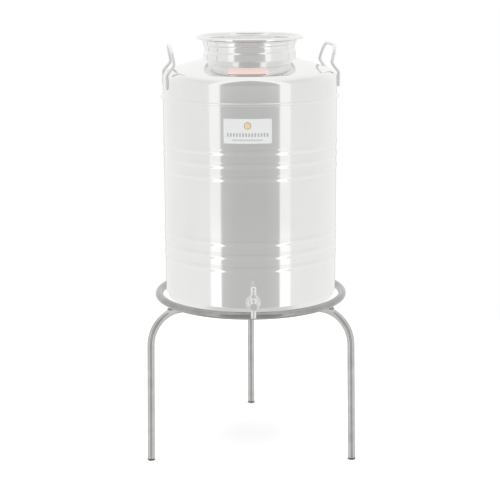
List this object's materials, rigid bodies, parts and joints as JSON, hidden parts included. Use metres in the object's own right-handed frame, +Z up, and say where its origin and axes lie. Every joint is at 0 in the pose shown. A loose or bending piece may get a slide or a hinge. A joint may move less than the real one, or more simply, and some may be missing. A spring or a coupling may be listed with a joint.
{
  "type": "honey storage drum with stand",
  "caption": "Cylindrical polished steel honey drum with beaded wall, coned shoulder, screw lid, side carrying handles and bottom tap, standing in the ring of a bent tube stand.",
  "frame": {"origin": "middle of the footprint, on the floor under the feet", "axes": "+Z up, -Y towards the tap and label, +X to the right when facing the tap; the drum's own axis stands 6.4 mm towards the tap from the origin"},
  "size_m": [0.4504, 0.5046, 0.902],
  "materials": {
    "polished_steel": "mirror-polished stainless sheet and bar",
    "satin_tube": "satin grey metallic on steel tube",
    "foot_plastic": "dark moulded end plugs",
    "gasket_silicone": "pale silicone rubber",
    "seal_rubber": "black rubber",
    "tap_chrome": "polished tap castings",
    "label_film": "pale printed film, no lettering",
    "strip_red": "plain red adhesive film"
  },
  "bodies": {
    "stand": {"stand_ring": "satin_tube", "stand_hub": "satin_tube", "leg_front_left": "satin_tube", "leg_front_right": "satin_tube", "leg_back": "satin_tube", "ring_weld_front_left": "satin_tube", "ring_weld_front_right": "satin_tube", "ring_weld_back": "satin_tube", "foot_plug_front_left": "foot_plastic", "foot_plug_front_right": "foot_plastic", "foot_plug_back": "foot_plastic"},
    "tank": {"tank_wall": "polished_steel", "tank_bottom": "polished_steel", "tank_shoulder": "polished_steel", "neck_collar": "polished_steel", "handle_left": "polished_steel", "handle_right": "polished_steel", "front_label": "label_film", "shoulder_strip": "strip_red", "tap_body": "tap_chrome", "tap_outer_gasket": "gasket_silicone", "tap_inner_gasket": "gasket_silicone", "tap_lock_nut": "tap_chrome"},
    "lid_seal": {"lid_gasket": "gasket_silicone"},
    "lid": {"lid_dish": "polished_steel"},
    "tap_valve": {"tap_plug": "tap_chrome", "tap_plug_seal": "seal_rubber", "tap_lever": "tap_chrome", "tap_lever_cap": "tap_chrome"}
  },
  "joints": [
    {"name": "tank_lift", "type": "slide", "parent": "stand", "child": "tank", "axis": [0, 0, 1], "range_m": [0, 0.12]},
    {"name": "lid_lift", "type": "slide", "parent": "tank", "child": "lid_seal", "axis": [0, 0, 1], "range_m": [0, 0.15]},
    {"name": "lid_turn", "type": "hinge", "parent": "lid_seal", "child": "lid", "pos_m": [0, -0.00643, 0.874], "axis": [0, 0, 1], "range_deg": [0, 360]},
    {"name": "tap_turn", "type": "hinge", "parent": "tank", "child": "tap_valve", "pos_m": [0.00571, -0.22435, 0.368], "axis": [0, 0, 1], "range_deg": [0, 90]}
  ]
}
